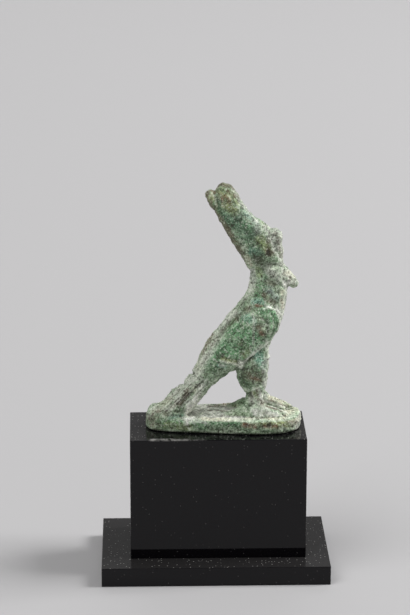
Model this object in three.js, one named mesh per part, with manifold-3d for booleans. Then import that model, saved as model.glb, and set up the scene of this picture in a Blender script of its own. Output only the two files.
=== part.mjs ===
// A small cast bronze falcon that wears the tall double crown, on a two-piece black acrylic plinth.
// Millimetres. +X points where the beak points, +Y away from the side that is usually shown, +Z up.
// The origin is the middle of the slab's underside. The falcon's own heights start at the block's top.

import * as THREE from "three";
import { mergeVertices } from "three/addons/utils/BufferGeometryUtils.js";
import Module from "manifold-3d";

const manifold = await Module();
manifold.setup();

// Plinth: a block on a wider slab.
const SLAB = { length: 58, width: 34, height: 5 };
const BLOCK = { length: 44.6, width: 21.5, height: 32, centreX: 0.7 };

// Cast base under the falcon: a long tongue, widest under the feet.
const BASE_HEIGHT = 3.8;
const BASE_EDGE_ROUND = 0.8;
const BASE_FOOT_ROUND = 0.5;

// Half of the base's plan from its front round to its rear: X, half-width.
const BASE_PLAN = [
  [21.9, 0],
  [20.8, 4.2],
  [17.6, 6.7],
  [12.0, 7.6],
  [5.0, 7.2],
  [-4.0, 6.0],
  [-13.0, 4.7],
  [-16.6, 2.9],
  [-17.5, 0],
];

// Crown: leans back from the nape. Its stations give the way up along the back edge, then the depth
// of the rear and of the front behind that edge, then the half-width.
const NAPE = { x: 8.7, z: 41.2 };
const CROWN_LEAN = THREE.MathUtils.degToRad(30);
const RIM_LIFT = 1.4; // the outer crown sits this much higher on the sides of the head

// Feet stand apart in Y, and the far one is a little ahead.
const FOOT_SPREAD = 3.3;
const FAR_LEG_AHEAD = 1.1;

// Eyes: low round bosses on the sides of the head.
const EYE = { x: 14.0, y: 3.2, z: 42.4, radius: 1.15 };

// Trunk from the tail's blunt end to the top of the head.
// Each station is rear or back X and Z, belly or chest X and Z, half-width.
const TRUNK = [
  [-17.0, 4.6, -16.6, 1.2, 2.4],
  [-16.0, 5.6, -15.0, 1.2, 3.2],
  [-13.2, 6.4, -11.2, 1.4, 3.7],
  [-9.7, 8.9, -6.4, 3.4, 4.0],
  [-7.0, 11.7, -3.6, 7.4, 4.4],
  [-5.3, 14.6, -0.9, 10.9, 4.8],
  [-4.2, 17.6, 2.4, 13.8, 5.1],
  [-3.2, 20.2, 7.2, 16.4, 5.3],
  [-1.8, 22.9, 12.2, 18.8, 5.5],
  [0.8, 26.0, 15.0, 24.2, 5.5],
  [3.2, 29.4, 16.9, 28.4, 5.2],
  [5.6, 32.2, 17.7, 32.0, 4.7],
  [7.7, 35.2, 18.2, 35.0, 4.1],
  [8.6, 38.0, 18.2, 37.6, 3.7],
  [8.8, 40.4, 17.9, 40.4, 3.95],
  [9.0, 42.4, 16.9, 43.4, 3.9],
  [9.4, 45.0, 15.6, 45.6, 3.6],
];

// Foot of the tail, spread over the base's rear: rear X, front X, height, half-width.
const TAIL_FOOT = [
  [-15.8, -6.0, 2.4, 5.0],
  [-15.4, -6.2, 3.8, 4.9],
  [-14.2, -5.6, 5.4, 4.4],
  [-12.2, -5.0, 7.0, 4.1],
  [-10.0, -4.4, 8.4, 3.8],
];

// Beak: a worn stub that points forward and down. Upper X and Z, lower X and Z, half-width.
const BEAK = [
  [15.0, 44.0, 15.6, 37.8, 2.7],
  [17.4, 42.7, 18.0, 37.4, 2.2],
  [19.3, 40.5, 19.2, 36.8, 1.6],
  [20.7, 38.6, 20.1, 36.6, 1.1],
  [21.2, 37.6, 20.8, 36.8, 0.6],
];

// Low outer crown, the tall crown inside it, its rear spike and the worn cobra on its front.
// Each station is rear way up, rear depth, front way up, front depth, half-width.
const OUTER_CROWN = [
  [-0.4, 0.2, -2.4, 7.9, 3.7],
  [0.2, 0.0, -1.7, 8.8, 4.2],
  [2.6, 0.0, 1.6, 9.4, 4.4],
  [5.6, 0.0, 4.6, 9.9, 4.3],
  [9.2, 0.0, 7.0, 9.9, 4.0],
  [11.6, 0.2, 9.4, 9.0, 3.6],
];
const INNER_CROWN = [
  [5.0, 0.8, 4.6, 9.4, 3.7],
  [8.4, 0.5, 7.6, 9.8, 3.7],
  [10.6, 0.3, 10.0, 8.7, 3.5],
  [12.8, 0.2, 12.6, 7.6, 3.2],
  [15.4, 0.5, 15.6, 7.2, 3.0],
  [18.2, 1.1, 18.4, 7.3, 3.0],
  [20.2, 1.9, 20.2, 7.1, 2.9],
  [21.5, 2.6, 21.4, 6.8, 2.5],
  [22.5, 3.2, 22.4, 6.0, 1.8],
  [23.0, 4.0, 23.0, 5.3, 0.8],
];
const SPIKE = [
  [6.0, 0.0, 6.0, 3.6, 3.0],
  [12.0, 0.0, 12.0, 3.4, 3.0],
  [18.0, 0.0, 18.0, 3.2, 2.7],
  [21.2, 0.0, 21.2, 2.9, 2.4],
  [22.4, 0.2, 22.3, 2.6, 1.9],
  [23.1, 0.8, 22.9, 1.9, 0.8],
];
const COBRA = [
  [-2.0, 5.6, -2.6, 8.2, 2.0],
  [0.6, 5.8, 0.4, 9.8, 2.6],
  [3.2, 6.4, 2.8, 11.0, 2.6],
  [5.6, 7.4, 4.6, 11.8, 2.3],
  [7.0, 8.4, 6.2, 10.9, 1.7],
];

// Folded wing from the shoulder to its tip over the tail.
// Upper X and Z, lower X and Z, distance from the middle, half-thickness.
const WING = [
  [13.2, 33.0, 15.4, 31.6, 2.9, 1.6],
  [10.8, 32.9, 16.5, 29.4, 2.9, 2.4],
  [7.8, 31.6, 15.9, 26.8, 2.9, 2.9],
  [5.2, 29.4, 14.0, 24.0, 2.9, 3.1],
  [2.9, 26.8, 11.2, 21.2, 2.9, 3.1],
  [0.9, 24.2, 7.4, 18.7, 2.8, 3.0],
  [-0.9, 21.4, 2.8, 17.0, 2.7, 2.8],
  [-2.7, 18.4, -1.2, 14.4, 2.6, 2.5],
  [-4.8, 15.2, -4.2, 11.8, 2.4, 2.2],
  [-7.4, 11.5, -7.2, 9.2, 2.2, 1.9],
  [-10.2, 8.7, -10.0, 7.2, 1.9, 1.5],
  [-12.6, 6.5, -12.4, 5.8, 1.6, 1.0],
];

// Long flight feathers that stand out as ridges along the tail and run out on it.
// Each runs from a start to a tip: X, distance from the middle, Z.
const FLIGHT_FEATHERS = [
  { from: [-4.6, 2.0, 13.0], to: [-9.0, 2.2, 8.4], radius: 0.9 },
  { from: [-3.2, 3.3, 14.2], to: [-13.2, 2.7, 5.1], radius: 1.0 },
  { from: [-2.2, 3.6, 12.8], to: [-13.8, 3.0, 3.9], radius: 1.0 },
  { from: [-5.0, 3.4, 9.4], to: [-11.6, 3.2, 2.9], radius: 1.0 },
];
const FEATHER_FLATNESS = 0.6;

// Turns over the rounded end of a toe or feather, in radians from its widest ring.
const TIP_TURNS = [0.6, 1.2];

// Feathered thigh, tucked under the wing: rear X, front X, height, half-width, distance from the middle.
const THIGH = [
  [8.6, 13.4, 24.6, 1.5, 2.3],
  [6.4, 13.6, 21.8, 1.9, 2.6],
  [5.1, 13.7, 18.7, 2.2, 3.0],
  [5.2, 13.5, 15.8, 2.4, 3.3],
  [5.7, 13.2, 13.0, 2.4, 3.3],
  [6.5, 13.0, 11.4, 2.2, 3.3],
  [7.4, 12.4, 10.4, 1.6, 3.3],
];

// Bare shank below the thigh: rear X, front X, height, half-width, distance from the middle.
const SHANK = [
  [7.7, 12.0, 11.6, 1.4, 3.3],
  [7.6, 11.8, 9.4, 1.3, 3.3],
  [7.5, 12.5, 7.6, 1.5, 3.3],
  [7.0, 13.9, 5.9, 1.8, 3.3],
  [6.2, 14.6, 4.4, 2.2, 3.3],
  [6.2, 14.6, 3.0, 2.2, 3.3],
];

// Toes lie on the base: three forward, one back. Angles open them outwards from straight ahead.
const TOES = { rootX: 11.4, rootZ: 5.7, tipZ: 4.1, rootRadius: 1.7, tipRadius: 0.7 };
const FORWARD_TOES = [
  { angle: -19, length: 5.4 },
  { angle: 0, length: 6.6 },
  { angle: 19, length: 5.4 },
];
const HIND_TOE = { rootX: 8.6, rootZ: 5.4, tipX: 2.6, tipZ: 3.9, rootRadius: 1.7, tipRadius: 0.7 };

// Closed skin over rings with the same number of points. Each end closes on its own middle.
function skin(rings) {
  const sides = rings[0].length;
  const points = rings.flat();
  const faces = [];
  for (let r = 0; r < rings.length - 1; r++) {
    for (let i = 0; i < sides; i++) {
      const here = r * sides + i;
      const next = r * sides + ((i + 1) % sides);
      faces.push(here, next, next + sides, here, next + sides, here + sides);
    }
  }
  for (const [ring, start, turn] of [
    [rings[0], 0, -1],
    [rings.at(-1), points.length - sides, 1],
  ]) {
    const middle = new THREE.Vector3();
    ring.forEach((p) => middle.addScaledVector(p, 1 / sides));
    points.push(middle);
    for (let i = 0; i < sides; i++) {
      const rim = [start + i, start + ((i + 1) % sides)];
      faces.push(points.length - 1, ...(turn > 0 ? rim : rim.reverse()));
    }
  }
  return toSolid(points, faces);
}

// Solid from points and triangles, turned to face outwards.
function toSolid(points, faces) {
  let volume = 0;
  for (let i = 0; i < faces.length; i += 3) {
    const [a, b, c] = [points[faces[i]], points[faces[i + 1]], points[faces[i + 2]]];
    volume += a.dot(new THREE.Vector3().crossVectors(b, c));
  }
  const outward = volume < 0 ? faces.reverse() : faces;
  return new manifold.Manifold(
    new manifold.Mesh({
      numProp: 3,
      vertProperties: new Float32Array(points.flatMap((p) => p.toArray())),
      triVerts: new Uint32Array(outward),
    }),
  );
}

// Ring about a middle. A power of 2 is an ellipse, more gives squarer shoulders, and lift raises its sides.
function ring(middle, along, across, sides, power = 2, lift = 0) {
  const points = [];
  for (let i = 0; i < sides; i++) {
    const angle = (2 * Math.PI * i) / sides;
    const bulge = (v) => Math.sign(v) * Math.abs(v) ** (2 / power);
    points.push(
      middle
        .clone()
        .addScaledVector(along, bulge(Math.cos(angle)))
        .addScaledVector(across, bulge(Math.sin(angle)))
        .add(new THREE.Vector3(0, 0, lift * Math.sin(angle) ** 2)),
    );
  }
  return points;
}

// Loft through stations, smoothed: two edge curves in the X-Z plane, and a middle and half-width in Y.
function loft(stations, { steps, sides, side = 1, power = 2, lift = 0 }) {
  const curve = (pick) => new THREE.CatmullRomCurve3(stations.map(pick), false, "centripetal");
  const rear = curve((s) => new THREE.Vector3(s.rear[0], s.half, s.rear[1]));
  const front = curve((s) => new THREE.Vector3(s.front[0], s.offset ?? 0, s.front[1]));
  const rings = [];
  for (let i = 0; i <= steps; i++) {
    const a = rear.getPoint(i / steps);
    const b = front.getPoint(i / steps);
    const middle = new THREE.Vector3((a.x + b.x) / 2, side * b.y, (a.z + b.z) / 2);
    const along = new THREE.Vector3((b.x - a.x) / 2, 0, (b.z - a.z) / 2);
    rings.push(ring(middle, along, new THREE.Vector3(0, a.y, 0), sides, power, lift));
  }
  return skin(rings);
}

// Tapered rod between two points, closed at its tip by part of a ball. Flat squeezes it sideways.
function taper(from, to, rootRadius, tipRadius, { sides = 8, steps = 4, flat = 1 } = {}) {
  const start = new THREE.Vector3(...from);
  const end = new THREE.Vector3(...to);
  const along = end.clone().sub(start).normalize();
  const across = new THREE.Vector3(0, 1, 0).cross(along).normalize();
  const sideways = along.clone().cross(across);
  const section = (middle, radius) => {
    const height = across.clone().multiplyScalar(radius);
    const width = sideways.clone().multiplyScalar(radius * flat);
    return ring(middle, height, width, sides);
  };
  const rings = [];
  for (let i = 0; i <= steps; i++) {
    const share = i / steps;
    rings.push(section(start.clone().lerp(end, share), THREE.MathUtils.lerp(rootRadius, tipRadius, share)));
  }
  for (const turn of TIP_TURNS) {
    const middle = end.clone().addScaledVector(along, tipRadius * Math.sin(turn));
    rings.push(section(middle, tipRadius * Math.cos(turn)));
  }
  return skin(rings);
}

// Point on the crown from its way up the back edge and its depth in front of that edge.
function onCrown(up, depth) {
  const [s, c] = [Math.sin(CROWN_LEAN), Math.cos(CROWN_LEAN)];
  return [NAPE.x - s * up + c * depth, NAPE.z + c * up + s * depth];
}

const profile = ([rx, rz, fx, fz, half]) => ({ rear: [rx, rz], front: [fx, fz], half });
const upright = (ahead) => ([rearX, frontX, z, half, offset]) => ({
  rear: [rearX + ahead, z],
  front: [frontX + ahead, z],
  offset,
  half,
});
const crownStation = ([up, depth, frontUp, frontDepth, half]) => ({
  rear: onCrown(up, depth),
  front: onCrown(frontUp, frontDepth),
  half,
});

function trunk() {
  return loft(TRUNK.map(profile), { steps: 28, sides: 20, power: 2.2 });
}

function tailFoot() {
  return loft(TAIL_FOOT.map(upright(0)), { steps: 8, sides: 22, power: 2.6 });
}

function beak() {
  return loft(BEAK.map(profile), { steps: 8, sides: 14 });
}

function crown() {
  return [
    loft(OUTER_CROWN.map(crownStation), { steps: 10, sides: 22, lift: RIM_LIFT }),
    loft(INNER_CROWN.map(crownStation), { steps: 18, sides: 18, power: 2.4 }),
    loft(SPIKE.map(crownStation), { steps: 9, sides: 12, power: 2.6 }),
    loft(COBRA.map(crownStation), { steps: 8, sides: 14, power: 2.4 }),
  ];
}

function wing(side) {
  const stations = WING.map(([ux, uz, lx, lz, offset, half]) => ({
    rear: [ux, uz],
    front: [lx, lz],
    offset,
    half,
  }));
  return loft(stations, { steps: 20, sides: 18, side, power: 3.2 });
}

function flightFeathers(side) {
  return FLIGHT_FEATHERS.map(({ from, to, radius }) => {
    const mirrored = ([x, y, z]) => [x, side * y, z];
    return taper(mirrored(from), mirrored(to), radius, radius * 0.6, { flat: FEATHER_FLATNESS });
  });
}

function eye(side) {
  const boss = new THREE.SphereGeometry(EYE.radius, 14, 8);
  boss.translate(EYE.x, side * EYE.y, EYE.z);
  return geometrySolid(boss);
}

// One leg: the feathered thigh, the shank, three toes ahead and one behind.
function leg(side) {
  const ahead = side > 0 ? FAR_LEG_AHEAD : 0;
  const y = side * FOOT_SPREAD;
  const parts = [
    loft(THIGH.map(upright(0)), { steps: 10, sides: 16, side }),
    loft(SHANK.map(upright(ahead)), { steps: 6, sides: 12, side }),
  ];
  for (const { angle, length } of FORWARD_TOES) {
    const turn = THREE.MathUtils.degToRad(angle);
    const root = [TOES.rootX + ahead, y, TOES.rootZ];
    const tip = [root[0] + length * Math.cos(turn), y + length * Math.sin(turn), TOES.tipZ];
    parts.push(taper(root, tip, TOES.rootRadius, TOES.tipRadius));
  }
  const heel = [HIND_TOE.rootX + ahead, y, HIND_TOE.rootZ];
  const spur = [HIND_TOE.tipX + ahead, y, HIND_TOE.tipZ];
  parts.push(taper(heel, spur, HIND_TOE.rootRadius, HIND_TOE.tipRadius));
  return parts;
}

// Plan of the base at a height, drawn in from its widest outline.
function basePlan(inset, z, sides) {
  const mirrored = BASE_PLAN.slice(1, -1).reverse().map(([x, half]) => [x, -half]);
  const corners = [...BASE_PLAN, ...mirrored].map(([x, y]) => new THREE.Vector3(x, y, 0));
  const outline = new THREE.CatmullRomCurve3(corners, true, "centripetal");
  const up = new THREE.Vector3(0, 0, 1);
  return Array.from({ length: sides }, (_, i) => {
    const inward = up.clone().cross(outline.getTangent(i / sides));
    return outline.getPoint(i / sides).addScaledVector(inward, inset).setZ(z);
  });
}

// Edge of the base as insets and heights: a small round at the foot and a larger one at the top.
function baseEdge() {
  const turns = [0, Math.PI / 4, Math.PI / 2];
  const foot = turns.map((turn) => [
    BASE_FOOT_ROUND * (1 - Math.sin(turn)),
    BASE_FOOT_ROUND * (1 - Math.cos(turn)),
  ]);
  const top = turns.map((turn) => [
    BASE_EDGE_ROUND * (1 - Math.cos(turn)),
    BASE_HEIGHT - BASE_EDGE_ROUND * (1 - Math.sin(turn)),
  ]);
  return [...foot, ...top];
}

function castBase() {
  return skin(baseEdge().map(([inset, z]) => basePlan(inset, z, 44)));
}

// Solid of a closed three.js geometry.
function geometrySolid(geometry) {
  geometry.deleteAttribute("normal");
  geometry.deleteAttribute("uv");
  const merged = mergeVertices(geometry);
  return new manifold.Manifold(
    new manifold.Mesh({
      numProp: 3,
      vertProperties: merged.attributes.position.array,
      triVerts: new Uint32Array(merged.index.array),
    }),
  );
}

// One solid from overlapping ones. Pockets that close between them are filled: the outer skin stays.
function joined(solids) {
  const skins = solids.reduce((whole, part) => whole.add(part)).decompose();
  return skins.reduce((largest, other) => (other.volume() > largest.volume() ? other : largest));
}

// Geometry of a finished solid.
function solidGeometry(solid) {
  const { vertProperties, triVerts } = solid.getMesh();
  const geometry = new THREE.BufferGeometry();
  geometry.setAttribute("position", new THREE.BufferAttribute(vertProperties, 3));
  geometry.setIndex(new THREE.BufferAttribute(triVerts, 1));
  geometry.computeVertexNormals();
  return geometry;
}

function namedMesh(name, geometry, material) {
  const mesh = new THREE.Mesh(geometry, material);
  mesh.name = name;
  return mesh;
}

const bronze = new THREE.MeshStandardMaterial({ color: 0x5c7a5e, roughness: 0.8, metalness: 0.3 });
const acrylic = new THREE.MeshStandardMaterial({ color: 0x121214, roughness: 0.12, metalness: 0 });

const parts = [
  trunk(),
  tailFoot(),
  beak(),
  ...crown(),
  castBase(),
  ...[-1, 1].flatMap((side) => [wing(side), eye(side), ...flightFeathers(side), ...leg(side)]),
];
const falcon = namedMesh("falcon_statuette", solidGeometry(joined(parts)), bronze);
falcon.position.z = SLAB.height + BLOCK.height;

const slab = namedMesh(
  "plinth_slab",
  new THREE.BoxGeometry(SLAB.length, SLAB.width, SLAB.height),
  acrylic,
);
slab.position.z = SLAB.height / 2;

const block = namedMesh(
  "plinth_block",
  new THREE.BoxGeometry(BLOCK.length, BLOCK.width, BLOCK.height),
  acrylic,
);
block.position.set(BLOCK.centreX, 0, SLAB.height + BLOCK.height / 2);

const statuette = new THREE.Group();
statuette.add(slab, block, falcon);
export default statuette;
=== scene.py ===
"""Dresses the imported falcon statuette: a corroded cast bronze on a black acrylic plinth, in a plain studio.

Tables here are in millimetres, and MM turns them into Blender's metres. X points where the beak points, the side
that the camera sees faces -Y, and heights in the tables start at the top of the plinth's block.
"""

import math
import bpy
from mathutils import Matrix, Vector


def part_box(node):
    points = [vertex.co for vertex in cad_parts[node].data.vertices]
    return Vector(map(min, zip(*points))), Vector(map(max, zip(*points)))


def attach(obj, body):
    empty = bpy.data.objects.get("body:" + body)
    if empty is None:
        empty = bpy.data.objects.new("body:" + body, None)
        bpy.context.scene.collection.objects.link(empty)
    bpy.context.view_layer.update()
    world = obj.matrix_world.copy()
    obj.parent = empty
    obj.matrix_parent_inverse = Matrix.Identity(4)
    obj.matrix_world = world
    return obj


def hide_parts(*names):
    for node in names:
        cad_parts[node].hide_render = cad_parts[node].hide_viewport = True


bl_info = {
    "name": "Falcon Statuette Dressing",
    "version": (1, 0, 0),
    "blender": (4, 5, 0),
    "location": "3D View > Sidebar > Falcon",
    "description": "Dresses a corroded bronze falcon, its black acrylic plinth and a plain studio",
    "category": "Object",
}

import bmesh
import bpy
import numpy as np
from bpy.props import FloatProperty, FloatVectorProperty, IntProperty, PointerProperty
from mathutils import Euler, Matrix, Vector

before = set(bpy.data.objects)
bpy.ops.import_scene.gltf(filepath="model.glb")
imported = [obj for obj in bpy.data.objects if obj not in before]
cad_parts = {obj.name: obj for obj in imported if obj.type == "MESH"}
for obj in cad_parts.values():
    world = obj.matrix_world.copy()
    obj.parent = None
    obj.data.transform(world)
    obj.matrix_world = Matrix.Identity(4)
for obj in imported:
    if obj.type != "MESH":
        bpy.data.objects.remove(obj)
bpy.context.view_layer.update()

MM = 0.001
BODY = "root"
BRONZE_NODE = "falcon_statuette"
PLINTH_NODES = ("plinth_slab", "plinth_block")
BLOCK_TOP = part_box("plinth_block")[1].z / MM

# Photograph's frame and its fitted camera.
PHOTO_WIDTH, PHOTO_HEIGHT = 410, 615
FOCAL_PIXELS = 2400
CAMERA_PLACE = (-18.1, -576.9, 245.3)
CAMERA_TURN = (72.97, -0.04, -1.54)

# Worn feather ends that stand out on the far edge of the tail: thick end, thin end, and their radii.
FEATHER_ENDS = [
    ((-8.3, 2.3, 9.5), (-6.4, 2.6, 12.8), 0.6, 0.25),
    ((-11.5, 2.4, 6.9), (-8.9, 2.5, 10.2), 0.6, 0.25),
    ((-12.6, 2.3, 6.0), (-10.5, 2.4, 8.8), 0.5, 0.25),
]

# Lines worked in the bronze's sides or left there by wear: points (X, Z), then half-width and height of the line.
# A height below zero is a groove.
WORKED_LINES = {
    "wing's raised rim": (
        [(12.0, 32.4), (13.2, 32.6), (14.6, 32.3), (15.8, 31.4), (16.5, 30.0), (16.3, 28.0), (14.0, 24.6)],
        0.3, 0.26,
    ),
    "wing's lower edge": ([(14.0, 24.6), (12.0, 22.8), (10.0, 21.1), (7.5, 19.1), (6.0, 18.6)], 0.32, 0.26),
    "hollow under the wing's edge": ([(13.6, 22.9), (11.6, 21.1), (9.6, 19.6), (7.0, 17.8)], 0.5, -0.08),
    "ridge down the wing": ([(9.7, 30.2), (9.7, 27.3), (9.8, 25.0), (10.0, 22.4)], 0.25, 0.06),
    "groove beside the mantle": (
        [(7.9, 35.6), (6.9, 33.1), (5.2, 31.0), (3.7, 28.9), (1.5, 26.0), (-0.5, 22.9), (-1.8, 20.3), (-3.1, 17.9)],
        0.4, -0.15,
    ),
    "mantle's edge": (
        [(7.0, 36.2), (5.9, 33.9), (4.2, 31.9), (2.6, 29.7), (0.4, 26.8), (-1.6, 23.6), (-2.9, 20.9)],
        0.4, 0.16,
    ),
    "line down the back": ([(-3.9, 17.6), (-1.4, 22.2), (1.2, 26.2)], 0.3, 0.12),
    "first covert line": ([(10.6, 30.6), (12.6, 29.6), (13.1, 26.9), (11.8, 24.3)], 0.3, -0.18),
    "outer covert line": ([(14.1, 31.1), (14.6, 28.5), (13.9, 25.3)], 0.3, -0.15),
    
    "second covert line": ([(7.4, 30.9), (5.6, 27.6), (3.4, 24.4), (1.2, 21.2), (-1.0, 18.0)], 0.35, -0.1),
    "ledge along the belly": ([(1.4, 19.2), (3.4, 18.8), (5.0, 18.2), (6.6, 17.4)], 0.5, 0.36),
    "hollow over the ledge": ([(0.6, 20.0), (2.8, 19.9), (4.8, 19.4)], 0.4, -0.15),
    "crown's crease": ([(14.0, 53.0), (13.2, 50.4), (13.1, 47.6), (13.2, 46.2)], 0.4, -0.2),
    "slot from the crown's pit": ([(13.2, 46.7), (14.2, 45.4), (15.0, 44.4)], 0.25, -0.16),
    "upper rope below the pit": ([(14.1, 47.3), (15.4, 46.1), (16.3, 44.2)], 0.28, 0.18),
    "lower rope below the pit": ([(13.9, 45.6), (15.0, 44.6), (15.8, 42.8)], 0.28, 0.16),
    "crease beside the spike": ([(-0.4, 62.4), (0.9, 58.6), (1.7, 56.1), (2.7, 53.0)], 0.4, -0.1),
    "cobra's under side": ([(14.0, 50.9), (15.3, 50.8), (16.6, 50.9)], 0.3, -0.15),
    "line of the mouth": ([(20.2, 39.2), (18.6, 39.9), (17.2, 40.3)], 0.3, -0.15),
    "line under the cheek": ([(12.6, 39.6), (14.4, 38.8), (16.2, 38.4), (17.6, 38.6)], 0.4, -0.12),
    "brow over the eye": ([(12.2, 43.9), (13.9, 44.4), (15.6, 43.9)], 0.4, 0.1),
    "rear groove up the shank": ([(8.9, 10.9), (9.1, 8.8), (9.0, 6.8)], 0.4, -0.25),
    "front groove up the shank": ([(11.2, 11.2), (11.4, 9.2), (11.6, 7.6)], 0.4, -0.22),
    "hem of the thigh": ([(7.4, 11.6), (8.6, 11.1), (9.9, 11.7), (11.4, 12.2)], 0.35, 0.25),
    "feather down the thigh": ([(7.0, 17.4), (6.9, 14.6), (7.6, 12.6)], 0.35, -0.15),
    "second feather down the thigh": ([(9.4, 18.4), (9.4, 15.6), (9.6, 13.0)], 0.35, -0.12),
}

# Round pits and bosses: X, Z, radius and height. A height below zero is a pit.
ROUND_MARKS = {
    "crown's pit": (13.4, 46.7, 0.6, -0.35),
    "hollow behind the pit": (10.6, 44.9, 1.6, -0.2),
    "casting flaw on the wing": (8.8, 22.9, 0.35, -0.4),
    "casting flaw by the back": (1.9, 20.6, 0.5, -0.3),
    "knob at the end of the ledge": (6.4, 17.7, 0.7, 0.45),
    "chip in the base": (13.6, 2.4, 0.8, -0.4),
    "second chip in the base": (8.0, 2.6, 0.6, -0.3),
}

# Painted light: how far paler and greyer what faces forward is, standing for the light that falls on that side.
FRONT_PAINTED_LIGHT = 0.7

EYE = (14.0, 42.5)
EYE_RING_RADIUS = 1.25
EYE_RING_WIDTH = 0.3
EYE_RING_DEPTH = 0.06

# Barbs of the tail feathers: a place on the tail, the way they run, how far they reach along and across it, the widths
# of their two sets of furrows and their depth.
TAIL_MIDDLE = (-8.2, 9.6)
TAIL_TURN = math.radians(47)
TAIL_REACH, TAIL_SPAN = 7.5, 2.6
BARB_WIDTHS = (1.15, 0.68)
BARB_DEPTH = 0.18

# Gaps between the worn feather ends along the tail's back edge: X, Z as the camera sees them, radius and depth.
NOTCHES = [(-5.8, 15.2, 0.55, 0.75), (-8.1, 12.7, 0.6, 0.6), (-10.3, 11.1, 0.4, 0.35)]

# The cast base: half-width at places along X, height of its top, and the worn lip round its hollow.
BASE_HALF_WIDTHS = [(-17.5, 0), (-16.6, 2.9), (-13, 4.7), (-4, 6), (5, 7.2), (12, 7.6), (17.6, 6.7), (20.8, 4.2), (21.9, 0)]
BASE_TOP = 3.8
LEG_TOP = 12.5
LIP_INSET, LIP_WIDTH, LIP_HEIGHT = 1.3, 0.6, 0.16
DISH_DEPTH = 0.12

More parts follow.
